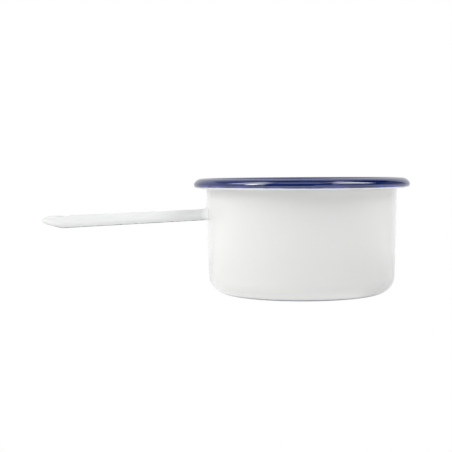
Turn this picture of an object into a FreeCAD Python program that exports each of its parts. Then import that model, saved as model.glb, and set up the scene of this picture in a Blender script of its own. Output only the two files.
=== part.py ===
import FreeCAD, Part
import math
import os

import Sketcher

# Enamelled steel milk pan: a drawn bowl with a curled rim, a coloured enamel
# band fused over the curl, and a pressed channel handle welded to the wall.
# Frame: origin at the centre of the base, +Z up, the handle points along -X.
# Units: millimetres. Sheet thicknesses include the enamel on both faces.

DIMENSIONS = {
    "wall_radius": 70.0,         # outside of the wall, just under the rim
    "crest_height": 84.55,       # top of the steel rim above the base
    "bowl_sheet": 1.0,
    "base_corner": 12.8,         # outside radius between base and wall
    "wall_bow": 1450.0,          # radius of the wall's slight inward bow
    "flare_radius": 4.2,         # inner surface where the wall turns outwards
    "nose_radius": 79.2,         # outermost point of the steel rim
    "nose_height": 80.05,
    "curl_radius": 2.9,          # outside of the curled edge
    "band_thickness": 0.2,       # coloured enamel on the rim
    "band_edge_height": 78.25,   # lower limit of the band, under the nose
    "handle_sheet": 1.4,
    "root_half_width": 9.7,      # handle, where it meets the wall
    "end_half_width": 13.3,      # handle, at its widest
    "root_crown": 61.95,         # height of the handle's top at the wall
    "root_edge": 54.15,          # height of the skirt's lower edge at the wall
    "crown_fall": 0.0405,        # fall of the top line per millimetre of straight handle
    "edge_fall": 0.0514,         # fall of the lower edge per millimetre of straight handle
    "skirt_reach": 107.1,        # wall to the start of the rounded end
    "nose_length": 18.2,         # the rounded end, measured along the handle
    "nose_drop": 4.6,            # how far the top curves down at the tip
    "nose_lift": 0.225,          # rise of the lower edge per millimetre there
    "hole_radius": 5.0,          # hanging hole
    "hole_reach": 108.9,         # wall to the centre of the hanging hole
    "root_overrun": 8.0,         # extra length trimmed off against the wall
    "trim_depth": 16.0,          # how far inside the wall the trimming reaches
    "trim_floor": 25.6,          # lowest height that is trimmed
    "weld_leg": 2.9,
    "weld_toe": 0.02,            # the weld's thickness where it runs out on the handle
    "cutter_depth": 12.0,        # how far the hollow's cutter drops below the edge
}

NOSE_STATIONS = (0.0, 0.3, 0.55, 0.75, 0.88, 0.95, 0.985)

ORIGIN = (-1, 1)
Z_AXIS = -2


def make_sheet(doc):
    sheet = doc.addObject("Spreadsheet::Sheet", "dims")
    for row, (alias, value) in enumerate(DIMENSIONS.items(), start=1):
        sheet.set(f"A{row}", alias)
        sheet.set(f"B{row}", str(value))
        sheet.setAlias(f"B{row}", alias)
    doc.recompute()
    return sheet


def origin_plane(body, role):
    return next(f for f in body.Origin.OriginFeatures if f.Role == role)


def new_sketch(body, name, role):
    sketch = body.newObject("Sketcher::SketchObject", name)
    sketch.AttachmentSupport = [(origin_plane(body, role), "")]
    sketch.MapMode = "FlatFace"
    return sketch


def add_rule(sketch, *rule):
    return sketch.addConstraint(Sketcher.Constraint(*rule))


def bind_rule(sketch, name, expression, *rule):
    """Add a dimension and bind it to an expression of the sheet's cells."""
    index = add_rule(sketch, *rule)
    sketch.renameConstraint(index, name)
    sketch.setExpression(f"Constraints.{name}", expression)


def point(x, y):
    return FreeCAD.Vector(x, y, 0)


def add_line(sketch, start, end):
    return sketch.addGeometry(Part.LineSegment(point(*start), point(*end)), False)


def add_arc(sketch, centre, radius, start, end):
    """Counter-clockwise arc from the angle start to the angle end, in radians."""
    circle = Part.Circle(point(*centre), FreeCAD.Vector(0, 0, 1), radius)
    return sketch.addGeometry(Part.ArcOfCircle(circle, start, end), False)


def rim_layout(d):
    """Arc centres of the rim's outer surface, solved so that each meets the next smoothly."""
    flare = (d["wall_radius"] - d["bowl_sheet"] + d["flare_radius"], d["crest_height"] - d["flare_radius"])
    curl = (d["nose_radius"] - d["curl_radius"], d["nose_height"])
    across = curl[0] - flare[0]
    rise = d["crest_height"] - curl[1]
    top_radius = (across**2 + rise**2 - d["curl_radius"] ** 2) / (2 * (rise - d["curl_radius"]))
    top = (flare[0], d["crest_height"] - top_radius)
    meet = math.atan2(curl[1] - top[1], across)
    return {"flare": flare, "curl": curl, "top": top, "top_radius": top_radius, "meet": meet}


def wall_layout(d):
    """Arc centres of the wall and the base corner, and the angle at which they meet."""
    bow = d["wall_bow"]
    corner = d["base_corner"]
    centre = (d["wall_radius"] - bow, d["crest_height"] - d["flare_radius"])
    drop = centre[1] - corner
    meet = -math.asin(drop / (bow - corner))
    corner_centre = (centre[0] + (bow - corner) * math.cos(meet), corner)
    return {"wall": centre, "corner": corner_centre, "meet": meet}


def bowl_profile(body, d):
    """Closed section of the bowl: base, corner, wall, flare, crest and curled edge."""
    sketch = new_sketch(body, "bowl_profile", "XZ_Plane")
    sheet = d["bowl_sheet"]
    rim = rim_layout(d)
    wall = wall_layout(d)
    down = -math.pi / 2
    curl_stop = -math.pi
    corner_x = wall["corner"][0]
    end_x = rim["curl"][0] - d["curl_radius"]

    base = add_line(sketch, (0, 0), (corner_x, 0))
    corner = add_arc(sketch, wall["corner"], d["base_corner"], down, wall["meet"])
    side = add_arc(sketch, wall["wall"], d["wall_bow"], wall["meet"], 0)
    flare_under = add_arc(sketch, rim["flare"], d["flare_radius"] - sheet, math.pi / 2, math.pi)
    top_under = add_arc(sketch, rim["top"], rim["top_radius"] - sheet, rim["meet"], math.pi / 2)
    curl_inner = add_arc(sketch, rim["curl"], d["curl_radius"] - sheet, curl_stop, rim["meet"])
    edge = add_line(sketch, (end_x + sheet, d["nose_height"]), (end_x, d["nose_height"]))
    curl_outer = add_arc(sketch, rim["curl"], d["curl_radius"], curl_stop, rim["meet"])
    top_outer = add_arc(sketch, rim["top"], rim["top_radius"], rim["meet"], math.pi / 2)
    flare_inner = add_arc(sketch, rim["flare"], d["flare_radius"], math.pi / 2, math.pi)
    side_inner = add_arc(sketch, wall["wall"], d["wall_bow"] - sheet, wall["meet"], 0)
    corner_inner = add_arc(sketch, wall["corner"], d["base_corner"] - sheet, down, wall["meet"])
    floor = add_line(sketch, (corner_x, sheet), (0, sheet))
    axis = add_line(sketch, (0, sheet), (0, 0))

    smooth_joints = (
        (base, 2, corner, 1),
        (corner, 2, side, 1),
        (side, 2, flare_under, 2),
        (flare_under, 1, top_under, 2),
        (top_under, 1, curl_inner, 2),
        (curl_outer, 2, top_outer, 1),
        (top_outer, 2, flare_inner, 1),
        (flare_inner, 2, side_inner, 2),
        (side_inner, 1, corner_inner, 2),
        (corner_inner, 1, floor, 1),
    )
    for joint in smooth_joints:
        add_rule(sketch, "Tangent", *joint)
    add_rule(sketch, "Perpendicular", curl_inner, 1, edge, 1)
    add_rule(sketch, "Coincident", edge, 2, curl_outer, 1)
    add_rule(sketch, "Coincident", floor, 2, axis, 1)
    add_rule(sketch, "Coincident", axis, 2, base, 1)
    add_rule(sketch, "Coincident", base, 1, *ORIGIN)
    concentric = (
        (corner, corner_inner),
        (side, side_inner),
        (flare_under, flare_inner),
        (top_under, top_outer),
        (curl_inner, curl_outer),
    )
    for first, second in concentric:
        add_rule(sketch, "Coincident", first, 3, second, 3)
    add_rule(sketch, "Vertical", axis)
    for flat in (base, floor, edge):
        add_rule(sketch, "Horizontal", flat)
    add_rule(sketch, "Horizontal", side, 3, flare_under, 3)
    add_rule(sketch, "Vertical", flare_under, 3, top_under, 3)

    bind_rule(sketch, "thickness", "dims.bowl_sheet", "DistanceY", axis, 2, axis, 1, sheet)
    bind_rule(sketch, "corner_size", "dims.base_corner", "Radius", corner, d["base_corner"])
    bind_rule(sketch, "wall_bow", "dims.wall_bow", "Radius", side, d["wall_bow"])
    bind_rule(sketch, "wall_top", "dims.wall_radius", "DistanceX", *ORIGIN, side, 2, d["wall_radius"])
    bind_rule(sketch, "flare_size", "dims.flare_radius", "Radius", flare_inner, d["flare_radius"])
    bind_rule(sketch, "crest", "dims.crest_height", "DistanceY", *ORIGIN, top_outer, 2, d["crest_height"])
    bind_rule(sketch, "curl_size", "dims.curl_radius", "Radius", curl_outer, d["curl_radius"])
    bind_rule(sketch, "curl_across", "dims.nose_radius - dims.curl_radius",
              "DistanceX", *ORIGIN, curl_outer, 3, rim["curl"][0])
    bind_rule(sketch, "curl_up", "dims.nose_height", "DistanceY", *ORIGIN, curl_outer, 3, rim["curl"][1])
    return sketch


def band_profile(body, d):
    """Thin closed section that follows the rim's outer surface from inside the pan to under the nose."""
    sketch = new_sketch(body, "band_profile", "XZ_Plane")
    thin = d["band_thickness"]
    rim = rim_layout(d)
    stop = math.asin((d["band_edge_height"] - d["nose_height"]) / d["curl_radius"])
    flare, curl, top = rim["flare"], rim["curl"], rim["top"]
    quarter = math.pi / 2

    def on_arc(centre, radius, angle):
        return (centre[0] + radius * math.cos(angle), centre[1] + radius * math.sin(angle))

    flare_in = add_arc(sketch, flare, d["flare_radius"], quarter, math.pi)
    top_in = add_arc(sketch, top, rim["top_radius"], rim["meet"], quarter)
    curl_in = add_arc(sketch, curl, d["curl_radius"], stop, rim["meet"])
    flare_out = add_arc(sketch, flare, d["flare_radius"] + thin, quarter, math.pi)
    top_out = add_arc(sketch, top, rim["top_radius"] + thin, rim["meet"], quarter)
    curl_out = add_arc(sketch, curl, d["curl_radius"] + thin, stop, rim["meet"])
    inner_end = add_line(sketch, on_arc(flare, d["flare_radius"], math.pi),
                         on_arc(flare, d["flare_radius"] + thin, math.pi))
    lower_end = add_line(sketch, on_arc(curl, d["curl_radius"], stop),
                         on_arc(curl, d["curl_radius"] + thin, stop))

    for flare_arc, top_arc, curl_arc in ((flare_in, top_in, curl_in), (flare_out, top_out, curl_out)):
        add_rule(sketch, "Tangent", flare_arc, 1, top_arc, 2)
        add_rule(sketch, "Tangent", top_arc, 1, curl_arc, 2)
    for first, second in ((flare_in, flare_out), (top_in, top_out), (curl_in, curl_out)):
        add_rule(sketch, "Coincident", first, 3, second, 3)
    add_rule(sketch, "Perpendicular", flare_in, 2, inner_end, 1)
    add_rule(sketch, "Coincident", inner_end, 2, flare_out, 2)
    add_rule(sketch, "Perpendicular", curl_in, 1, lower_end, 1)
    add_rule(sketch, "Coincident", lower_end, 2, curl_out, 1)
    add_rule(sketch, "Horizontal", inner_end)
    add_rule(sketch, "Vertical", flare_in, 3, top_in, 3)

    bind_rule(sketch, "flare_across", "dims.wall_radius - dims.bowl_sheet + dims.flare_radius",
              "DistanceX", *ORIGIN, flare_in, 3, flare[0])
    bind_rule(sketch, "flare_up", "dims.crest_height - dims.flare_radius",
              "DistanceY", *ORIGIN, flare_in, 3, flare[1])
    bind_rule(sketch, "flare_size", "dims.flare_radius", "Radius", flare_in, d["flare_radius"])
    bind_rule(sketch, "curl_across", "dims.nose_radius - dims.curl_radius",
              "DistanceX", *ORIGIN, curl_in, 3, curl[0])
    bind_rule(sketch, "curl_up", "dims.nose_height", "DistanceY", *ORIGIN, curl_in, 3, curl[1])
    bind_rule(sketch, "curl_size", "dims.curl_radius", "Radius", curl_in, d["curl_radius"])
    bind_rule(sketch, "thickness", "dims.curl_radius + dims.band_thickness",
              "Radius", curl_out, d["curl_radius"] + thin)
    bind_rule(sketch, "band_edge", "dims.band_edge_height",
              "DistanceY", *ORIGIN, curl_in, 1, d["band_edge_height"])
    return sketch


def revolve(body, sketch, name):
    turned = body.newObject("PartDesign::Revolution", name)
    turned.Profile = sketch
    turned.ReferenceAxis = (sketch, ["V_Axis"])
    turned.Angle = 360
    sketch.Visibility = False
    return turned


def make_pan_body(doc, d):
    body = doc.addObject("PartDesign::Body", "pan_body")
    revolve(body, bowl_profile(body, d), "bowl")
    return body


def make_rim_enamel(doc, d):
    body = doc.addObject("PartDesign::Body", "rim_enamel")
    revolve(body, band_profile(body, d), "band")
    return body


def handle_section(reach, station, inset=0.0):
    """Expressions for one cross-section of the handle's outside, or of its hollow when inset is 1.

    reach is an expression for the distance from the wall; station runs from 0 to 1 along the
    rounded end, and is 0 on the straight part.
    """
    narrow = math.sqrt(1 - station**2)
    dip = 1 - math.sqrt(1 - station**4)
    taper = "(dims.end_half_width - dims.root_half_width) / dims.skirt_reach"
    straight = f"min({reach}; dims.skirt_reach)"
    along = f"{station} * (dims.nose_length - {inset} * dims.handle_sheet)"
    half_width = f"(dims.root_half_width + {taper} * {straight} - {inset} * dims.handle_sheet) * {narrow}"
    crown = (f"dims.root_crown - dims.crown_fall * {straight} - dims.nose_drop * {dip}"
             f" - {inset} * dims.handle_sheet")
    edge = f"dims.root_edge - dims.edge_fall * {straight} + dims.nose_lift * {along}"
    place = f"-(dims.wall_radius + {reach} + {along})"
    return {"place": place, "half_width": half_width, "crown": crown, "edge": edge}


def arch_sketch(body, name, section, widen="0", hollow=False):
    """Half-ellipse arch standing on the skirt's edge line, optionally widened, or deepened for a cutter."""
    sheet = body.Document.getObject("dims")

    def number(expression):
        return float(sheet.evalExpression(expression))

    half_width = f"{section['half_width']} + {widen}"
    rise = f"{section['crown']} - ({section['edge']}) + {widen}"
    wide, tall, low = number(half_width), number(rise), number(section["edge"])
    sketch = new_sketch(body, name, "YZ_Plane")
    place = number(section["place"])
    sketch.AttachmentOffset = FreeCAD.Placement(FreeCAD.Vector(0, 0, place), FreeCAD.Rotation())
    sketch.setExpression(".AttachmentOffset.Base.z", section["place"])

    ellipse = Part.Ellipse(point(wide, low), point(0, low + tall), point(0, low))
    arch = sketch.addGeometry(Part.ArcOfEllipse(ellipse, 0, math.pi), False)
    if hollow:
        foot = low - number("dims.cutter_depth")
        corners = ((-wide, low), (-wide, foot), (wide, foot), (wide, low))
    else:
        corners = ((-wide, low), (wide, low))
    sides = [add_line(sketch, a, b) for a, b in zip(corners, corners[1:])]
    major = sketch.GeometryCount
    sketch.exposeInternalGeometry(arch)

    chain = [(arch, 2)]
    for side in sides:
        add_rule(sketch, "Coincident", *chain[-1], side, 1)
        chain.append((side, 2))
    add_rule(sketch, "Coincident", *chain[-1], arch, 1)
    if hollow:
        add_rule(sketch, "Vertical", sides[0])
        add_rule(sketch, "Vertical", sides[2])
        bind_rule(sketch, "cutter_depth", "dims.cutter_depth",
                  "DistanceY", sides[0], 2, sides[0], 1, low - foot)
        add_rule(sketch, "Horizontal", sides[1])
    add_rule(sketch, "Horizontal", major)
    add_rule(sketch, "PointOnObject", arch, 3, Z_AXIS)
    bind_rule(sketch, "edge_height", section["edge"], "DistanceY", *ORIGIN, arch, 3, low)
    bind_rule(sketch, "start_height", section["edge"], "DistanceY", *ORIGIN, arch, 1, low)
    bind_rule(sketch, "end_height", section["edge"], "DistanceY", *ORIGIN, arch, 2, low)
    bind_rule(sketch, "half_width", half_width, "DistanceX", *ORIGIN, arch, 1, wide)
    bind_rule(sketch, "rise", f"2 * ({rise})", "Distance", major + 1, 1, major + 1, 2, 2 * tall)
    sketch.Visibility = False
    return sketch


def loft(body, kind, name, sketches):
    solid = body.newObject(f"PartDesign::{kind}Loft", name)
    solid.Profile = sketches[0]
    solid.Sections = sketches[1:]
    solid.Ruled = len(sketches) == 2
    return solid


def straight_arches(body, prefix, inset=0.0, hollow=False):
    """The two sections between which the handle tapers evenly."""
    root = handle_section("(-dims.root_overrun)", 0.0, inset)
    end = handle_section("dims.skirt_reach", 0.0, inset)
    return [arch_sketch(body, f"{prefix}_root", root, hollow=hollow),
            arch_sketch(body, f"{prefix}_end", end, hollow=hollow)]


def nose_arches(body, prefix, inset=0.0, hollow=False):
    """Sections through the rounded end, closer together towards the tip."""
    arches = []
    for number, station in enumerate(NOSE_STATIONS):
        section = handle_section("dims.skirt_reach", station, inset)
        arches.append(arch_sketch(body, f"{prefix}_{number}", section, hollow=hollow))
    return arches


def trim_to_wall(body, d):
    """Turn away whatever reaches inside the bowl's outer wall."""
    sketch = new_sketch(body, "wall_trim", "XZ_Plane")
    wall = wall_layout(d)
    bow = d["wall_bow"]
    high = wall["wall"][1]
    low = d["trim_floor"]
    depth = d["wall_radius"] - d["trim_depth"]
    angle = -math.asin((high - low) / bow)
    foot = wall["wall"][0] + bow * math.cos(angle)
    side = add_arc(sketch, wall["wall"], bow, angle, 0)
    top = add_line(sketch, (d["wall_radius"], high), (depth, high))
    back = add_line(sketch, (depth, high), (depth, low))
    bottom = add_line(sketch, (depth, low), (foot, low))
    for joint in ((side, 2, top, 1), (top, 2, back, 1), (back, 2, bottom, 1), (bottom, 2, side, 1)):
        add_rule(sketch, "Coincident", *joint)
    for flat in (top, bottom):
        add_rule(sketch, "Horizontal", flat)
    add_rule(sketch, "Vertical", back)
    add_rule(sketch, "Horizontal", side, 3, side, 2)
    bind_rule(sketch, "wall_bow", "dims.wall_bow", "Radius", side, bow)
    bind_rule(sketch, "wall_top", "dims.wall_radius", "DistanceX", *ORIGIN, side, 2, d["wall_radius"])
    bind_rule(sketch, "top_height", "dims.crest_height - dims.flare_radius",
              "DistanceY", *ORIGIN, side, 2, high)
    bind_rule(sketch, "low_height", "dims.trim_floor", "DistanceY", *ORIGIN, side, 1, low)
    bind_rule(sketch, "depth", "dims.wall_radius - dims.trim_depth",
              "DistanceX", *ORIGIN, back, 1, depth)
    trim = body.newObject("PartDesign::Groove", "wall_cut")
    trim.Profile = sketch
    trim.ReferenceAxis = (sketch, ["V_Axis"])
    trim.Angle = 360
    sketch.Visibility = False
    return trim


def pierce_hanging_hole(body, d):
    sketch = new_sketch(body, "hole_sketch", "XY_Plane")
    centre = -(d["wall_radius"] + d["hole_reach"])
    circle = Part.Circle(point(centre, 0), FreeCAD.Vector(0, 0, 1), d["hole_radius"])
    hole = sketch.addGeometry(circle, False)
    add_rule(sketch, "PointOnObject", hole, 3, -1)
    bind_rule(sketch, "hole_size", "dims.hole_radius", "Radius", hole, d["hole_radius"])
    bind_rule(sketch, "hole_place", "dims.wall_radius + dims.hole_reach",
              "DistanceX", hole, 3, *ORIGIN, -centre)
    pocket = body.newObject("PartDesign::Pocket", "hanging_hole")
    pocket.Profile = sketch
    pocket.Type = "ThroughAll"
    pocket.Reversed = True
    sketch.Visibility = False
    return pocket


def make_handle(doc, d):
    body = doc.addObject("PartDesign::Body", "handle")
    loft(body, "Additive", "arm", straight_arches(body, "arm"))
    loft(body, "Additive", "nose", nose_arches(body, "nose"))
    loft(body, "Subtractive", "arm_hollow", straight_arches(body, "arm_hollow", 1.0, True))
    loft(body, "Subtractive", "nose_hollow", nose_arches(body, "nose_hollow", 1.0, True))
    pierce_hanging_hole(body, d)
    trim_to_wall(body, d)
    return body


def make_handle_weld(doc, d):
    """Fillet weld around the arch where the handle meets the wall, tapering out along the handle."""
    body = doc.addObject("PartDesign::Body", "handle_weld")
    buried = handle_section("(-dims.root_overrun / 2)", 0.0)
    toe = handle_section("dims.weld_leg", 0.0)
    sections = [arch_sketch(body, "bead_wall", buried, widen="(dims.weld_leg + dims.root_overrun / 2)"),
                arch_sketch(body, "bead_toe", toe, widen="dims.weld_toe")]
    loft(body, "Additive", "bead", sections)
    loft(body, "Subtractive", "arm_space", straight_arches(body, "arm_space", 0.0, True))
    trim_to_wall(body, d)
    return body


def check_document(doc, bodies):
    for item in doc.Objects:
        if "Invalid" in item.State or "Error" in item.State:
            raise RuntimeError(f"{item.Label} failed: {item.State}")
    for body in bodies:
        if body.Shape.isNull() or not body.Shape.isValid():
            raise RuntimeError(f"{body.Label} has no valid shape")
        box = body.Shape.optimalBoundingBox(True, False)
        print(f"{body.Label}: {len(body.Shape.Solids)} solid, {body.Shape.Volume:.0f} mm3, "
              f"X {box.XMin:.2f}..{box.XMax:.2f}  Y {box.YMin:.2f}..{box.YMax:.2f}  "
              f"Z {box.ZMin:.2f}..{box.ZMax:.2f}")


def main():
    os.makedirs("parts", exist_ok=True)
    doc = FreeCAD.newDocument("milk_pan")
    make_sheet(doc)
    bodies = []
    for make in (make_pan_body, make_rim_enamel, make_handle, make_handle_weld):
        bodies.append(make(doc, DIMENSIONS))
        doc.recompute()
    for body in bodies:
        body.Placement = FreeCAD.Placement()
    doc.recompute()
    check_document(doc, bodies)
    for body in bodies:
        body.Shape.exportStep(f"parts/{body.Label}.step")


main()
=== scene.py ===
import math

import bpy
import numpy as np
from mathutils import Matrix, Vector


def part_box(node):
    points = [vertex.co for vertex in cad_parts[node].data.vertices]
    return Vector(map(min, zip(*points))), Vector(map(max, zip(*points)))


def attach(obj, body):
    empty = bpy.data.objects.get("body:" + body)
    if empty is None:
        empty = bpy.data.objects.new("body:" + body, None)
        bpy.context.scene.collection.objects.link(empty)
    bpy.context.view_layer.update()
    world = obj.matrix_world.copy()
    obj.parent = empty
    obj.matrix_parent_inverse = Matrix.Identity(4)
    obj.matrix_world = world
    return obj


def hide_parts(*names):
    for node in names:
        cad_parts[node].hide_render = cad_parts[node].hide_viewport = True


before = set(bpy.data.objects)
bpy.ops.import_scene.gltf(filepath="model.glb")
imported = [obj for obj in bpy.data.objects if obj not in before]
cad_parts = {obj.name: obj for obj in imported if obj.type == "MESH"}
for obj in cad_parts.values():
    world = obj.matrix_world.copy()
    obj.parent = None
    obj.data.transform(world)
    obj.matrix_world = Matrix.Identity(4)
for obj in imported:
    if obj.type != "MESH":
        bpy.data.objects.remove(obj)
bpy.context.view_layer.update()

# An enamelled steel milk pan. Shapes are worked out in millimetres in the CAD
# model's own frame (origin at the centre of the base, +Z up, handle along -X)
# and turned into metres when a mesh is made.

MM = 0.001

# Sizes read from the CAD frame.
pan_low, pan_high = [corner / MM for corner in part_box("pan_body")]
band_low, band_high = [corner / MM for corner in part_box("rim_enamel")]
handle_low, handle_high = [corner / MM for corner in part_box("handle")]
CREST_HEIGHT = pan_high.z
NOSE_RADIUS = pan_high.x
BAND_THICKNESS = band_high.z - pan_high.z
HANDLE_TIP = -handle_low.x
END_HALF_WIDTH = handle_high.y

# The bowl's section, as the CAD model has it.
WALL_RADIUS = 70.0
BOWL_SHEET = 1.0
BASE_CORNER = 12.8
WALL_BOW = 1450.0
FLARE_RADIUS = 4.2
NOSE_HEIGHT = 80.05
CURL_RADIUS = 2.9
FLARE_HEIGHT = CREST_HEIGHT - FLARE_RADIUS

# The handle, as the CAD model has it.
HANDLE_SHEET = 1.4
ROOT_HALF_WIDTH = 9.7
ROOT_CROWN = 61.95
ROOT_EDGE = 54.15
CROWN_FALL = 0.0405
EDGE_FALL = 0.0514
SKIRT_REACH = 107.1
NOSE_LIFT = 0.225
HOLE_RADIUS = 5.0
HOLE_REACH = 108.9
HOLE_MARGIN = 4.5                 # from the hole to the part of the grid it replaces
WELD_LEG = 2.9
WELD_TOE = 4.4
WELD_SINK = 0.35                  # how far the weld's back lies in the wall and the handle
WELD_FADE = 0.55                  # how much thinner it is at its two ends
NOSE_LENGTH = HANDLE_TIP - WALL_RADIUS - SKIRT_REACH

AROUND = 320                      # divisions round the bowl


# ---------------------------------------------------------------- mesh tools

def mesh_piece(name, points_mm, faces, node, material, attributes=None):
    """Make a smooth mesh from points in millimetres; it stands for a CAD node and rides on the one body."""
    mesh = bpy.data.meshes.new(name)
    mesh.from_pydata((np.asarray(points_mm) * MM).tolist(), [], faces)
    mesh.polygons.foreach_set("use_smooth", [True] * len(mesh.polygons))
    for key, values in (attributes or {}).items():
        layer = mesh.attributes.new(key, "FLOAT", "POINT")
        layer.data.foreach_set("value", np.asarray(values, dtype=np.float32))
    mesh.materials.append(material)
    mesh.update()
    piece = bpy.data.objects.new(name, mesh)
    bpy.context.scene.collection.objects.link(piece)
    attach(piece, "root")
    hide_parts(node)
    return piece


def arc(centre, radius, start, end, step=0.35):
    """Points along an arc, about step millimetres apart, both ends included."""
    count = max(3, int(abs(end - start) * radius / step) + 1)
    angles = np.linspace(start, end, count)
    return np.column_stack([centre[0] + radius * np.cos(angles), centre[1] + radius * np.sin(angles)])


def ripple(angle, waves):
    """Sum of sines round the bowl: each wave is (amplitude, turns, phase)."""
    return sum(size * np.sin(turns * angle + phase) for size, turns, phase in waves)


def ring_faces(columns, rows, closed_rows):
    """Quads of a grid that closes on itself in its first direction, and in its second if closed_rows."""
    faces = []
    for i in range(columns):
        following = (i + 1) % columns
        for j in range(rows if closed_rows else rows - 1):
            up = (j + 1) % rows
            faces.append((i * rows + j, following * rows + j, following * rows + up, i * rows + up))
    return faces


# ---------------------------------------------------------------- the bowl

def rim_layout():
    """Arc centres of the rim's outer surface, solved so that each meets the next smoothly."""
    flare = (WALL_RADIUS - BOWL_SHEET + FLARE_RADIUS, FLARE_HEIGHT)
    curl = (NOSE_RADIUS - CURL_RADIUS, NOSE_HEIGHT)
    across = curl[0] - flare[0]
    rise = CREST_HEIGHT - curl[1]
    top_radius = (across**2 + rise**2 - CURL_RADIUS**2) / (2 * (rise - CURL_RADIUS))
    top = (flare[0], CREST_HEIGHT - top_radius)
    return flare, top, curl, top_radius, math.atan2(curl[1] - top[1], across)


def wall_layout():
    """Arc centres of the wall and the base corner, and the angle at which they meet."""
    centre = (WALL_RADIUS - WALL_BOW, FLARE_HEIGHT)
    meet = -math.asin((FLARE_HEIGHT - BASE_CORNER) / (WALL_BOW - BASE_CORNER))
    corner = (centre[0] + (WALL_BOW - BASE_CORNER) * math.cos(meet), BASE_CORNER)
    return centre, corner, meet


def wall_radius_at(height):
    """Outside radius of the wall at a height above the base corner."""
    return WALL_RADIUS - WALL_BOW + np.sqrt(WALL_BOW**2 - (FLARE_HEIGHT - height) ** 2)


def bowl_section():
    """Open loop of (radius, height) from the middle of the base, out, over the rim and back inside."""
    flare, top, curl, top_radius, meet = rim_layout()
    wall, corner, bend = wall_layout()
    down = -math.pi / 2
    edge_middle = (curl[0] - CURL_RADIUS + BOWL_SHEET / 2, NOSE_HEIGHT)
    base_radii = np.linspace(0, corner[0], 40)[:-1]
    parts = [
        np.column_stack([base_radii, np.zeros_like(base_radii)]),
        arc(corner, BASE_CORNER, down, bend, 0.5),
        arc(wall, WALL_BOW, bend, 0, 1.5),
        arc(flare, FLARE_RADIUS - BOWL_SHEET, math.pi, math.pi / 2),
        arc(top, top_radius - BOWL_SHEET, math.pi / 2, meet),
        arc(curl, CURL_RADIUS - BOWL_SHEET, meet, -math.pi),
        arc(edge_middle, BOWL_SHEET / 2, 0, math.pi, 0.15),
        arc(curl, CURL_RADIUS, -math.pi, meet),
        arc(top, top_radius, meet, math.pi / 2),
        arc(flare, FLARE_RADIUS, math.pi / 2, math.pi),
        arc(wall, WALL_BOW - BOWL_SHEET, 0, bend, 1.5),
        arc(corner, BASE_CORNER - BOWL_SHEET, bend, down, 0.5),
        np.column_stack([base_radii[::-1], np.full_like(base_radii, BOWL_SHEET)]),
    ]
    points = np.concatenate(parts)
    apart = np.linalg.norm(np.diff(points, axis=0), axis=1) > 1e-4
    return points[np.concatenate([[True], apart])]


WALL_WAVES = ((0.10, 2, 0.6), (0.05, 3, 2.1), (0.03, 7, 0.9))


def out_of_round(radius, height, angle):
    """Small departure of the pressed bowl from a true circle, none at the base and most at the rim."""
    share = np.clip(height / CREST_HEIGHT, 0, 1) * np.clip(radius / WALL_RADIUS, 0, 1)
    return share * ripple(angle, WALL_WAVES)


def make_bowl(material):
    section = bowl_section()
    middle = section[1:-1]
    angles = np.arange(AROUND) * 2 * math.pi / AROUND
    radius, angle = np.meshgrid(middle[:, 0], angles)
    height = np.broadcast_to(middle[:, 1], radius.shape)
    wide = radius + out_of_round(radius, height, angle)
    grid = np.stack([wide * np.cos(angle), wide * np.sin(angle), height], axis=-1).reshape(-1, 3)
    points = np.concatenate([grid, [(0, 0, section[0, 1]), (0, 0, section[-1, 1])]])
    rows = len(middle)
    faces = ring_faces(AROUND, rows, False)
    below, above = len(grid), len(grid) + 1
    for i in range(AROUND):
        following = (i + 1) % AROUND
        faces.append((below, following * rows, i * rows))
        faces.append((above, i * rows + rows - 1, following * rows + rows - 1))
    outside = np.arange(rows) < np.argmax(middle[:, 1])
    return mesh_piece("bowl", points, faces, "pan_body", material,
                      {"outside": np.concatenate([np.tile(outside, AROUND), [1, 0]])})


# ---------------------------------------------------------------- the blue band

BAND_LOWER_WAVES = ((0.18, 2, 3.5), (0.12, 4, 0.9), (0.05, 9, 3.0), (0.05, 31, 2.9), (0.03, 67, 1.7))
BAND_INNER_WAVES = ((0.30, 3, 1.1), (0.22, 11, 0.4), (0.14, 27, 3.3), (0.08, 59, 5.1))
BAND_SINK = 0.06                  # how far the band's back lies in the bowl's skin
BAND_INSIDE_DROP = 1.6            # how far the band reaches down inside, below the flare
BAND_FOOT = math.radians(-37)     # where the band ends on the curl, below the nose
BAND_SHOULDER = 0.55              # how far from its borders the band reaches its full thickness
BAND_ROWS = 72


def band_path():
    """Points and outward normals along the rim's surface, from inside the pan to under the nose."""
    flare, top, curl, top_radius, meet = rim_layout()
    wall_x = WALL_RADIUS - BOWL_SHEET
    lead = np.linspace(-BAND_INSIDE_DROP, 0, 8)[:-1]
    inside = np.column_stack([np.full_like(lead, wall_x), FLARE_HEIGHT + lead])
    over = arc(flare, FLARE_RADIUS, math.pi, math.pi / 2, 0.2)
    outer = arc(top, top_radius, math.pi / 2, meet, 0.2)[1:]
    under = arc(curl, CURL_RADIUS, meet, BAND_FOOT, 0.12)[1:]
    points = np.concatenate([inside, over, outer, under])
    along = np.gradient(points, axis=0)
    along /= np.linalg.norm(along, axis=1)[:, None]
    normals = np.column_stack([-along[:, 1], along[:, 0]])
    return points, normals


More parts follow.
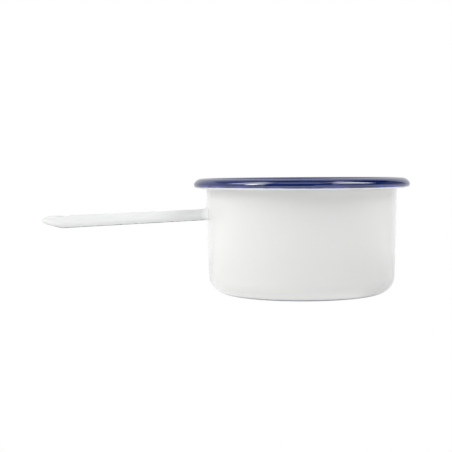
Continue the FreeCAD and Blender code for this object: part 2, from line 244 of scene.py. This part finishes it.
def make_band(material):
    path, normals = band_path()
    length = np.concatenate([[0], np.cumsum(np.linalg.norm(np.diff(path, axis=0), axis=1))])
    angles = np.arange(2 * AROUND) * math.pi / AROUND
    spread = 0.5 - 0.5 * np.cos(np.linspace(0, math.pi, BAND_ROWS))
    points, film = [], []
    for angle in angles:
        start = 0.5 + ripple(angle, BAND_INNER_WAVES)
        stop = length[-1] + ripple(angle, BAND_LOWER_WAVES)
        along = start + (stop - start) * spread
        radius = np.interp(along, length, path[:, 0])
        height = np.interp(along, length, path[:, 1])
        lean = np.column_stack([np.interp(along, length, normals[:, k]) for k in (0, 1)])
        beyond = np.clip(along - length[-1], 0, None)
        radius += beyond * lean[:, 1]
        height -= beyond * lean[:, 0]
        radius += out_of_round(radius, height, angle)
        edge = np.minimum(along - start, stop - along)
        thick = BAND_THICKNESS * np.sqrt(np.clip(edge / BAND_SHOULDER, 0, 1)) - BAND_SINK * (edge < 1e-6)
        for offset, order in ((thick, slice(None)), (np.full(BAND_ROWS, -BAND_SINK), slice(-2, 0, -1))):
            wide = (radius + offset * lean[:, 0])[order]
            tall = (height + offset * lean[:, 1])[order]
            points.append(np.column_stack([wide * math.cos(angle), wide * math.sin(angle), tall]))
            film.append(edge[order])
    faces = ring_faces(len(angles), 2 * BAND_ROWS - 2, True)
    faces = [face[::-1] for face in faces]
    return mesh_piece("blue_rim", np.concatenate(points), faces, "rim_enamel",
                      material, {"film_edge": np.concatenate(film)})


# ---------------------------------------------------------------- the handle

def handle_arch(reach):
    """Half width, skirt edge height and rise of the handle's middle surface at a distance from the wall."""
    half = HANDLE_SHEET / 2
    straight = np.minimum(reach, SKIRT_REACH)
    beyond = np.maximum(reach - SKIRT_REACH, 0)
    station = np.clip(beyond / (NOSE_LENGTH - half), 0, 1)
    narrow = np.sqrt(1 - station**2)
    width = ROOT_HALF_WIDTH + (END_HALF_WIDTH - ROOT_HALF_WIDTH) * straight / SKIRT_REACH - half
    edge = ROOT_EDGE - EDGE_FALL * straight + NOSE_LIFT * beyond + half
    crown = ROOT_CROWN - CROWN_FALL * straight - half
    tip_edge = ROOT_EDGE - EDGE_FALL * SKIRT_REACH + NOSE_LIFT * (NOSE_LENGTH - half) + half
    tip_rise = ROOT_CROWN - CROWN_FALL * SKIRT_REACH - half - tip_edge
    dip = tip_rise * (1 - np.sqrt(1 - station**4))
    return width * narrow, edge, np.maximum(crown - edge - dip, 0)


def handle_point(reach, turn):
    """Point of the middle surface: turn runs from 0 at the far skirt's edge to pi at the near one."""
    width, edge, rise = handle_arch(reach)
    return np.stack([-(WALL_RADIUS + reach), width * np.cos(turn), edge + rise * np.sin(turn)], axis=-1)


def handle_surface():
    """The handle's middle surface: points and faces, with the hanging hole left open."""
    half = HANDLE_SHEET / 2
    ahead = HOLE_REACH - HOLE_RADIUS - HOLE_MARGIN
    behind = HOLE_REACH + HOLE_RADIUS + HOLE_MARGIN
    nose_full = NOSE_LENGTH - half
    curved = np.arcsin((behind - SKIRT_REACH) / nose_full)
    reaches = np.concatenate([
        np.array([0, 0.5, 1, 1.5, 2, 3, 4]),
        np.linspace(5, ahead, 96)[:-1],
        np.linspace(ahead, behind, 21)[:-1],
        SKIRT_REACH + nose_full * np.sin(np.linspace(curved, math.pi / 2, 22))[:-1],
    ])
    turns = np.linspace(0, math.pi, 65)
    first = int(np.argmin(abs(reaches - ahead)))
    last = int(np.argmin(abs(reaches - behind)))
    left, right = 18, 46
    points, index = [], {}

    def add(key, position):
        index[key] = len(points)
        points.append(position)

    for i, reach in enumerate(reaches):
        for j, turn in enumerate(turns):
            if first < i < last and left < j < right:
                continue
            place = handle_point(np.array(reach), turn)
            if reach < 4:
                wall = np.sqrt(wall_radius_at(place[2]) ** 2 - place[1] ** 2)
                place[0] = -(wall + (WALL_RADIUS + 4 - wall) * reach / 4)
            add((i, j), place)
    tip = handle_point(np.array(SKIRT_REACH + nose_full), math.pi / 2)
    add("tip", tip)

    faces = []
    for i in range(len(reaches) - 1):
        for j in range(len(turns) - 1):
            if first <= i < last and left <= j < right:
                continue
            faces.append((index[i, j], index[i + 1, j], index[i + 1, j + 1], index[i, j + 1]))
    end = len(reaches) - 1
    for j in range(len(turns) - 1):
        faces.append((index[end, j], index["tip"], index[end, j + 1]))

    loop = [(first, j) for j in range(left, right)]
    loop += [(i, right) for i in range(first, last)]
    loop += [(last, j) for j in range(right, left, -1)]
    loop += [(i, left) for i in range(last, first, -1)]
    centre = np.array([-(WALL_RADIUS + HOLE_REACH), 0.0])
    rings = 7
    previous = [index[key] for key in loop]
    outer = np.array([points[k][:2] for k in previous])
    angle = np.arctan2(outer[:, 1] - centre[1], outer[:, 0] - centre[0])
    circle = centre + (HOLE_RADIUS + half) * np.column_stack([np.cos(angle), np.sin(angle)])
    for ring in range(1, rings + 1):
        share = ring / rings
        current = []
        for k in range(len(loop)):
            x, y = outer[k] + (circle[k] - outer[k]) * share
            reach = -x - WALL_RADIUS
            width, _, _ = handle_arch(np.array(reach))
            current.append(len(points))
            points.append(handle_point(np.array(reach), math.acos(np.clip(y / width, -1, 1))))
        for k in range(len(loop)):
            following = (k + 1) % len(loop)
            faces.append((previous[k], current[k], current[following], previous[following]))
        previous = current
    return np.array(points), faces


def vertex_normals(points, faces):
    normals = np.zeros_like(points)
    for face in faces:
        corners = points[list(face)]
        normal = np.cross(corners[1] - corners[0], corners[2] - corners[0])
        if len(face) == 4:
            normal += np.cross(corners[2] - corners[0], corners[3] - corners[0])
        normals[list(face)] += normal
    return normals / np.maximum(np.linalg.norm(normals, axis=1), 1e-12)[:, None]


def border_loops(faces):
    """Ordered vertex loops along the open borders, with the sheet on their left."""
    edges = {}
    for face in faces:
        for a, b in zip(face, face[1:] + face[:1]):
            edges[a, b] = True
    onward = {a: b for a, b in edges if (b, a) not in edges}
    loops = []
    while onward:
        start = next(iter(onward))
        loop = [start]
        while onward.get(loop[-1]) is not None:
            loop.append(onward.pop(loop[-1]))
            if loop[-1] == start:
                loop.pop()
                break
        loops.append(loop)
    return loops


def thicken(points, faces, thickness, steps=8):
    """Give a middle surface its thickness, with round borders.

    Returns points, faces and, for each point, how far it lies round the border
    from the outer face, in millimetres (0 on the faces).
    """
    half = thickness / 2
    normals = vertex_normals(points, faces)
    count = len(points)
    solid = [points + half * normals, points - half * normals]
    around = [np.zeros(count), np.full(count, math.pi * half)]
    out = [tuple(f) for f in faces] + [tuple(count + v for v in reversed(f)) for f in faces]
    size = 2 * count
    for loop in border_loops(faces):
        here = points[loop]
        ahead = np.roll(here, -1, axis=0) - np.roll(here, 1, axis=0)
        ahead /= np.linalg.norm(ahead, axis=1)[:, None]
        up = normals[loop]
        outward = np.cross(ahead, up)
        outward /= np.linalg.norm(outward, axis=1)[:, None]
        previous = list(loop)
        for step in range(1, steps):
            turn = math.pi * step / steps
            solid.append(here + half * (math.cos(turn) * up + math.sin(turn) * outward))
            around.append(np.full(len(loop), turn * half))
            current = list(range(size, size + len(loop)))
            size += len(loop)
            out += border_strip(previous, current)
            previous = current
        out += border_strip(previous, [count + v for v in loop])
    return np.concatenate(solid), out, np.concatenate(around)


def border_strip(first, second):
    faces = []
    for k in range(len(first)):
        following = (k + 1) % len(first)
        faces.append((first[following], first[k], second[k], second[following]))
    return faces


def make_handle(material):
    points, faces = handle_surface()
    solid, out, around = thicken(points, faces, HANDLE_SHEET)
    hole = np.hypot(solid[:, 0] + WALL_RADIUS + HOLE_REACH, solid[:, 1])
    near_hole = np.clip((HOLE_RADIUS + 3 - hole) / 2, 0, 1)
    return mesh_piece("pan_handle", solid, out, "handle", material,
                      {"edge_turn": around, "near_hole": near_hole})


# ---------------------------------------------------------------- the weld

def fillet_curve(arm, root, foot, fullness=0.42):
    """Flat hollow curve from arm to foot that leaves each along its own surface."""
    first = arm + (root - arm) * fullness
    second = foot + (root - foot) * fullness
    curve = []
    for s in np.linspace(0, 1, 14):
        t = 1 - s
        curve.append(t**3 * arm + 3 * t**2 * s * first + 3 * t * s**2 * second + s**3 * foot)
    return curve


def make_weld(material):
    """Concave fillet that runs over the arch where the handle meets the wall."""
    half = HANDLE_SHEET / 2
    turns = np.linspace(-0.06, math.pi + 0.06, 90)
    loops = []
    for turn in turns:
        clipped = min(max(turn, 0.0), math.pi)
        fade = 1 - WELD_FADE * (abs(turn - math.pi / 2) / (math.pi / 2)) ** 8
        leg = (WELD_LEG + 0.18 * math.sin(5.3 * turn + 0.6) + 0.10 * math.sin(11 * turn)) * fade

        def skin(reach, lift):
            width, edge, rise = handle_arch(np.array(max(reach, 0.0)))
            y = (width + half + lift) * math.cos(clipped)
            z = edge + (rise + half + lift) * math.sin(clipped) - half * (turn != clipped)
            return np.array([y, z])

        def wall_x(yz, inward=0.0):
            return -math.sqrt((wall_radius_at(yz[1]) - inward) ** 2 - yz[0] ** 2)

        base = skin(0, 0)
        root = np.array([wall_x(base), *base])
        toe = leg * WELD_TOE / WELD_LEG
        arm_yz = skin(toe, 0)
        arm = np.array([root[0] - toe, *arm_yz])
        foot_yz = skin(0, leg)
        foot = np.array([wall_x(foot_yz), *foot_yz])
        bend = fillet_curve(arm, root, foot)
        deep_foot = np.array([wall_x(foot_yz, WELD_SINK), *foot_yz])
        inner_yz = skin(0, -WELD_SINK)
        deep_root = np.array([wall_x(inner_yz, WELD_SINK), *inner_yz])
        deep_arm = np.array([arm[0], *skin(toe, -WELD_SINK)])
        loops.append(np.array(bend + [deep_foot, deep_root, deep_arm]))
    rows = len(loops[0])
    points = np.concatenate(loops)
    faces = []
    for i in range(len(loops) - 1):
        for j in range(rows):
            up = (j + 1) % rows
            faces.append((i * rows + j, (i + 1) * rows + j, (i + 1) * rows + up, i * rows + up))
    faces.append(tuple(range(rows)))
    faces.append(tuple((len(loops) - 1) * rows + j for j in reversed(range(rows))))
    return mesh_piece("weld_fillet", points, faces, "handle_weld", material)


# ---------------------------------------------------------------- materials

def add_node(tree, kind, inputs=None, **settings):
    node = tree.nodes.new(kind)
    for key, value in settings.items():
        setattr(node, key, value)
    for key, value in (inputs or {}).items():
        if isinstance(value, bpy.types.NodeSocket):
            tree.links.new(value, node.inputs[key])
        else:
            node.inputs[key].default_value = value
    return node


def ramp(tree, value, low, high, start=0.0, end=1.0):
    """Smooth step of a value from low to high, giving start to end."""
    node = add_node(tree, "ShaderNodeMapRange", {0: value, 1: low, 2: high, 3: start, 4: end},
                    interpolation_type="SMOOTHSTEP")
    return node.outputs[0]


def blend_colours(tree, share, first, second):
    node = add_node(tree, "ShaderNodeMix", {"Factor": share}, data_type="RGBA")
    for socket, colour in (("A", first), ("B", second)):
        target = next(i for i in node.inputs if i.name == socket and i.type == "RGBA")
        if isinstance(colour, bpy.types.NodeSocket):
            tree.links.new(colour, target)
        else:
            target.default_value = (*colour, 1)
    return next(o for o in node.outputs if o.type == "RGBA")


def calculate(tree, operation, first, second=0.0, clamp=False):
    node = add_node(tree, "ShaderNodeMath", {0: first, 1: second}, operation=operation, use_clamp=clamp)
    return node.outputs[0]


def noise(tree, place, scale, detail=2.0, roughness=0.5):
    node = add_node(tree, "ShaderNodeTexNoise",
                    {"Vector": place, "Scale": scale, "Detail": detail, "Roughness": roughness})
    return node.outputs[0]


def specks(tree, place, scale, size, kept):
    """Sparse round dots: one per cell of a cellular pattern, a share of them kept, 1 inside a dot."""
    cells = add_node(tree, "ShaderNodeTexVoronoi", {"Vector": place, "Scale": scale})
    dot = ramp(tree, cells.outputs["Distance"], size * 0.6, size, 1.0, 0.0)
    parts = add_node(tree, "ShaderNodeSeparateColor", {"Color": cells.outputs["Color"]})
    chosen = calculate(tree, "LESS_THAN", parts.outputs[0], kept)
    return calculate(tree, "MULTIPLY", dot, chosen)


def new_enamel(name):
    material = bpy.data.materials.new(name)
    material.use_nodes = True
    tree = material.node_tree
    tree.nodes.clear()
    output = add_node(tree, "ShaderNodeOutputMaterial")
    shader = add_node(tree, "ShaderNodeBsdfPrincipled")
    tree.links.new(shader.outputs[0], output.inputs[0])
    shader.inputs["IOR"].default_value = 1.5
    shader.inputs["Coat Weight"].default_value = 1.0
    shader.inputs["Coat IOR"].default_value = 1.52
    shader.inputs["Coat Roughness"].default_value = 0.03
    place = add_node(tree, "ShaderNodeTexCoord").outputs["Object"]
    return material, tree, shader, place


WAVE_DEPTH = 0.00003               # metres
PEEL_DEPTH = 0.0000012


def glaze_relief(tree, place, shader, depth=1.0):
    """Slow waves and fine orange peel in the fired glass surface."""
    slow = noise(tree, place, 32.0, 0.0)
    fine = noise(tree, place, 620.0, 1.0)
    waves = add_node(tree, "ShaderNodeBump",
                     {"Height": slow, "Distance": WAVE_DEPTH * depth, "Strength": 1.0})
    peel = add_node(tree, "ShaderNodeBump",
                    {"Height": fine, "Distance": PEEL_DEPTH * depth, "Strength": 1.0,
                     "Normal": waves.outputs[0]})
    tree.links.new(peel.outputs[0], shader.inputs["Normal"])
    tree.links.new(peel.outputs[0], shader.inputs["Coat Normal"])


WHITE = (0.762, 0.765, 0.752)
THIN_WHITE = (0.757, 0.760, 0.750)
# Painted light: the handle and weld use a lighter copy of the bowl's white, standing in for the brighter
# light on the handle.
HANDLE_LIT_WHITE = (0.782, 0.792, 0.782)
HANDLE_LIT_THIN = (0.772, 0.784, 0.774)
GROUND_COAT = (0.015, 0.035, 0.07)
SPECK_GREY = (0.25, 0.27, 0.30)
# Painted shade: a dark navy ring on the base's outer skin stands in for the contact shadow where the pan
# meets the floor.
FOOT_PAINTED_SHADE = (0.012, 0.045, 0.12)
FOOT_SHADE_RING = (0.0525, 0.0545)       # metres from the middle: where the ring of painted contact shade under the base begins
FOOT_SHADE_RISE = (0.0013, 0.0020)       # metres above the floor: where it ends on the corner
FOOT_SHADE_UNEVEN = 0.0007               # how much that border wanders
BARE_ROUGHNESS = 0.55


def white_base(tree, place, full=WHITE, thin=THIN_WHITE):
    """Cover-coat white with slow changes of thickness and a few fine specks."""
    cloud = ramp(tree, noise(tree, place, 22.0, 1.0), 0.25, 0.8)
    colour = blend_colours(tree, cloud, full, thin)
    dots = specks(tree, place, 95.0, 0.05, 0.12)
    tiny = specks(tree, place, 240.0, 0.030, 0.30)
    marked = blend_colours(tree, calculate(tree, "MULTIPLY", dots, 0.35), colour, SPECK_GREY)
    return blend_colours(tree, calculate(tree, "MULTIPLY", tiny, 0.30), marked, SPECK_GREY)


def white_enamel():
    """The bowl's glossy white, with a dark ring of painted contact shade on the outer skin where it stands.
    """
    material, tree, shader, place = new_enamel("white_enamel")
    height = add_node(tree, "ShaderNodeSeparateXYZ", {0: place}).outputs[2]
    uneven = calculate(tree, "MULTIPLY", noise(tree, place, 160.0, 2.0), FOOT_SHADE_UNEVEN)
    foot = ramp(tree, calculate(tree, "ADD", height, uneven), *FOOT_SHADE_RISE, 1.0, 0.0)
    distance = add_node(tree, "ShaderNodeVectorMath", {0: place}, operation="LENGTH").outputs["Value"]
    foot = calculate(tree, "MULTIPLY", foot, ramp(tree, distance, *FOOT_SHADE_RING))
    outside = add_node(tree, "ShaderNodeAttribute", attribute_name="outside").outputs["Fac"]
    foot = calculate(tree, "MULTIPLY", foot, outside)
    # Painted contact shade: the outer skin turns navy close to the floor and outside the foot ring.
    colour = blend_colours(tree, foot, white_base(tree, place), FOOT_PAINTED_SHADE)
    tree.links.new(colour, shader.inputs["Base Color"])
    rough = ramp(tree, noise(tree, place, 60.0, 1.0), 0.3, 0.7, 0.19, 0.24)
    tree.links.new(rough, shader.inputs["Roughness"])
    glaze_relief(tree, place, shader)
    return material


def soft_gloss(tree, place, shader, bare=None):
    """The handle's duller finish: no coat, and rougher still where the ground coat lies bare."""
    rough = ramp(tree, noise(tree, place, 60.0, 2.0), 0.3, 0.7, 0.40, 0.46)
    if bare is not None:
        rough = calculate(tree, "MAXIMUM", rough, calculate(tree, "MULTIPLY", bare, BARE_ROUGHNESS))
    tree.links.new(rough, shader.inputs["Roughness"])
    shader.inputs["Coat Weight"].default_value = 0.0
    shader.inputs["Specular IOR Level"].default_value = 0.35
    glaze_relief(tree, place, shader, 0.5)


def handle_enamel():
    """White enamel that thins to the dark ground coat along the sheared edge."""
    material, tree, shader, place = new_enamel("handle_enamel")
    # Painted light: the handle takes the lighter copy of the bowl's white.
    colour = white_base(tree, place, HANDLE_LIT_WHITE, HANDLE_LIT_THIN)
    turn = add_node(tree, "ShaderNodeAttribute", attribute_name="edge_turn").outputs["Fac"]
    hole = add_node(tree, "ShaderNodeAttribute", attribute_name="near_hole").outputs["Fac"]
    breakup = noise(tree, place, 420.0, 3.0, 0.65)
    shifted = calculate(tree, "ADD", turn, calculate(tree, "MULTIPLY", breakup, 1.1))
    rim = ramp(tree, shifted, 0.85, 1.2)
    back = ramp(tree, turn, 1.3, 1.9, 1.0, 0.0)
    bare = calculate(tree, "MULTIPLY", rim, back)
    bare = calculate(tree, "MULTIPLY", bare, calculate(tree, "SUBTRACT", 1.0, hole))
    tree.links.new(blend_colours(tree, bare, colour, GROUND_COAT), shader.inputs["Base Color"])
    soft_gloss(tree, place, shader, bare)
    return material


def weld_enamel():
    """The handle's white, flowed over the weld."""
    material, tree, shader, place = new_enamel("weld_enamel")
    # Painted light: the weld takes the handle's lighter copy of the bowl's white.
    tree.links.new(white_base(tree, place, HANDLE_LIT_WHITE, HANDLE_LIT_THIN), shader.inputs["Base Color"])
    soft_gloss(tree, place, shader)
    return material


DEEP_BLUE = (0.0008, 0.013, 0.105)
THIN_BLUE = (0.055, 0.075, 0.46)
PALE_BLUE = (0.16, 0.18, 0.55)


def blue_enamel():
    """Cobalt glass: deep where it is thick, violet and lighter where it thins out at its borders."""
    material, tree, shader, place = new_enamel("blue_enamel")
    edge = add_node(tree, "ShaderNodeAttribute", attribute_name="film_edge").outputs["Fac"]
    patches = noise(tree, place, 70.0, 3.0, 0.6)
    fine = noise(tree, place, 380.0, 3.0, 0.6)
    reach = calculate(tree, "ADD", ramp(tree, patches, 0.3, 0.75, 0.25, 2.2),
                      calculate(tree, "MULTIPLY", fine, 0.5))
    thin = calculate(tree, "SUBTRACT", 1.0, calculate(tree, "DIVIDE", edge, reach), clamp=True)
    pale = ramp(tree, edge, 0.0, 0.35, 0.7, 0.0)
    mottled = blend_colours(tree, ramp(tree, patches, 0.35, 0.8, 0.0, 0.12), DEEP_BLUE, THIN_BLUE)
    colour = blend_colours(tree, thin, mottled, THIN_BLUE)
    colour = blend_colours(tree, pale, colour, PALE_BLUE)
    shader.inputs["Coat IOR"].default_value = 1.85
    shader.inputs["Specular IOR Level"].default_value = 0.0
    tree.links.new(colour, shader.inputs["Base Color"])
    tree.links.new(ramp(tree, fine, 0.3, 0.7, 0.10, 0.22), shader.inputs["Roughness"])
    glaze_relief(tree, place, shader, 0.6)
    return material


# ---------------------------------------------------------------- stage, light and camera

NEAR_GLOW = 0.63                  # the floor's own light round the pan
FAR_GLOW = 0.85                   # and further out
BACK_SHADE = 0.6                  # how much of it is left behind the pan
RIGHT_SHADE = 0.73                # and close by on its right
UNDER_PAN = (0.0555, 0.0605)      # metres from the middle: from dark under the base to the open floor


def window(tree, value, low, high, soft):
    """1 where the value lies between low and high, falling to 0 over a border this soft."""
    rising = ramp(tree, value, low - soft / 2, low + soft / 2)
    falling = ramp(tree, value, high - soft / 2, high + soft / 2, 1.0, 0.0)
    return calculate(tree, "MULTIPLY", rising, falling)


def bearing(tree, across, along):
    """Azimuth of a direction: 0 towards the camera's side, growing to its right."""
    return calculate(tree, "ARCTAN2", across, calculate(tree, "MULTIPLY", along, -1.0))


def floor_material():
    """White paper lit from below as well as above, in the pan's own shade under its base."""
    material = bpy.data.materials.new("floor_white")
    material.use_nodes = True
    tree = material.node_tree
    shader = tree.nodes["Principled BSDF"]
    output = tree.nodes["Material Output"]
    shader.inputs["Base Color"].default_value = (0.4, 0.4, 0.4, 1)
    shader.inputs["Roughness"].default_value = 0.9
    shader.inputs["Specular IOR Level"].default_value = 0.1
    place = add_node(tree, "ShaderNodeTexCoord").outputs["Object"]
    parts = add_node(tree, "ShaderNodeSeparateXYZ", {0: place})
    across, along = parts.outputs[0], parts.outputs[1]
    distance = add_node(tree, "ShaderNodeVectorMath", {0: place}, operation="LENGTH").outputs["Value"]
    turned = calculate(tree, "ABSOLUTE", bearing(tree, across, along))
    behind = ramp(tree, turned, math.radians(100), math.radians(130), 1.0, BACK_SHADE)
    right = window(tree, bearing(tree, across, along), math.radians(45), math.radians(110), 0.2)
    close = calculate(tree, "MULTIPLY", right, ramp(tree, distance, 0.2, 0.35, 1 - RIGHT_SHADE, 0.0))
    glow = calculate(tree, "MULTIPLY", ramp(tree, distance, 0.25, 0.35, NEAR_GLOW, FAR_GLOW),
                     ramp(tree, distance, *UNDER_PAN))
    glow = calculate(tree, "MULTIPLY", glow, behind)
    glow = calculate(tree, "MULTIPLY", glow, calculate(tree, "SUBTRACT", 1.0, close))
    shader.inputs["Emission Color"].default_value = (1, 1, 1, 1)
    tree.links.new(glow, shader.inputs["Emission Strength"])
    plain = add_node(tree, "ShaderNodeEmission", {"Color": (1, 1, 1, 1), "Strength": 1.0})
    seen = add_node(tree, "ShaderNodeLightPath").outputs["Is Camera Ray"]
    mixed = add_node(tree, "ShaderNodeMixShader", {0: seen, 1: shader.outputs[0], 2: plain.outputs[0]})
    tree.links.new(mixed.outputs[0], output.inputs[0])
    return material


FLOOR_REACH = 3.0                 # metres each way from the middle


def make_floor():
    mesh = bpy.data.meshes.new("floor")
    corners = [(x * FLOOR_REACH, y * FLOOR_REACH, 0) for x, y in ((-1, -1), (1, -1), (1, 1), (-1, 1))]
    mesh.from_pydata(corners, [], [(0, 1, 2, 3)])
    mesh.materials.append(floor_material())
    floor = bpy.data.objects.new("floor", mesh)
    bpy.context.scene.collection.objects.link(floor)


# The studio: white panels round and above the pan, seen only by what they light.
# Azimuth is 0 on the camera's side and grows to its right; elevation is from the floor up.
# name, azimuth from and to, elevation from and to, soft border, radiance
PANELS = (
    ("back", 142, 181, -20, 70, 4, 0.83),
    ("back", -181, -142, -20, 70, 4, 0.83),
    ("back left", -142, -98, -20, 35, 4, 0.75),
    ("back left top", -142, -98, 35, 70, 4, 0.32),
    ("back right", 98, 142, -20, 10, 4, 0.60),
    ("back right middle", 98, 142, 10, 35, 4, 0.20),
    ("ceiling", -90, 90, 70, 91, 4, 0.6),
    ("low left", -98, -64, -20, 35, 4, 0.68),
    ("high left", -98, -64, 35, 70, 4, 3.6),
    ("low right", 74, 98, -20, 10, 4, 0.8),
    ("high right", 74, 98, 35, 70, 4, 5.7),
    ("left box foot", -64, -52, 18, 27, 3, 6.0),
    ("left box", -64, -52, 27, 45, 3, 10.5),
    ("left box head", -64, -52, 45, 56, 3, 6.5),
    ("left box top", -64, -52, 56, 70, 3, 3.0),
    ("left box edge", -52, -40, 18, 36, 3, 3.3),
    ("left box edge top", -52, -40, 36, 56, 3, 1.3),
    ("front top", -40, 38, 48, 70, 3, 1.05),
    ("right box edge", 38, 50, 34, 45, 3, 4.2),
    ("right box foot", 50, 62, 27, 36, 3, 1.2),
    ("right box", 50, 74, 36, 56, 3, 3.4),
    ("right box top", 50, 74, 56, 70, 3, 1.6),
    ("front right low", 14, 74, 0, 18, 3, 0.75),
)


def make_world():
    """White panels in the dark; the camera itself sees a plain white backdrop."""
    world = bpy.data.worlds.new("studio")
    world.use_nodes = True
    tree = world.node_tree
    tree.nodes.clear()
    direction = add_node(tree, "ShaderNodeTexCoord").outputs["Generated"]
    parts = add_node(tree, "ShaderNodeSeparateXYZ", {0: direction})
    azimuth = bearing(tree, parts.outputs[0], parts.outputs[1])
    elevation = calculate(tree, "ARCSINE", parts.outputs[2])
    level = 0.0
    for _, left, right, low, high, soft, radiance in PANELS:
        left, right, low, high, soft = (math.radians(angle) for angle in (left, right, low, high, soft))
        panel = calculate(tree, "MULTIPLY", window(tree, azimuth, left, right, soft),
                          window(tree, elevation, low, high, soft))
        level = calculate(tree, "ADD", level, calculate(tree, "MULTIPLY", panel, radiance))
    studio = add_node(tree, "ShaderNodeBackground", {"Strength": level})
    studio.inputs["Color"].default_value = (1, 1, 1, 1)
    backdrop = add_node(tree, "ShaderNodeBackground", {"Color": (1, 1, 1, 1), "Strength": 1.0})
    seen = add_node(tree, "ShaderNodeLightPath").outputs["Is Camera Ray"]
    mixed = add_node(tree, "ShaderNodeMixShader", {0: seen, 1: studio.outputs[0], 2: backdrop.outputs[0]})
    add_node(tree, "ShaderNodeOutputWorld", {0: mixed.outputs[0]})
    bpy.context.scene.world = world


def make_camera():
    """Eye just above the rim, the pan right of the middle, the handle across the left half."""
    distance, height = 0.7607, 0.09105
    pitch, yaw, roll = (math.radians(a) for a in (3.143, 4.208, 0.397))
    ahead = Vector((-math.sin(yaw) * math.cos(pitch), math.cos(yaw) * math.cos(pitch), -math.sin(pitch)))
    right = Vector((math.cos(yaw), math.sin(yaw), 0))
    up = right.cross(ahead)
    level = Matrix((math.cos(roll) * right - math.sin(roll) * up,
                    math.sin(roll) * right + math.cos(roll) * up,
                    -ahead)).transposed()
    data = bpy.data.cameras.new("camera")
    data.sensor_width = 36
    data.lens = 81.5
    data.clip_start = 0.01
    camera = bpy.data.objects.new("camera", data)
    camera.matrix_world = Matrix.Translation((0, -distance, height)) @ level.to_4x4()
    bpy.context.scene.collection.objects.link(camera)
    bpy.context.scene.camera = camera


make_camera()
make_world()
make_floor()
bpy.context.scene.view_settings.view_transform = "Standard"

make_bowl(white_enamel())
make_band(blue_enamel())
make_handle(handle_enamel())
make_weld(weld_enamel())
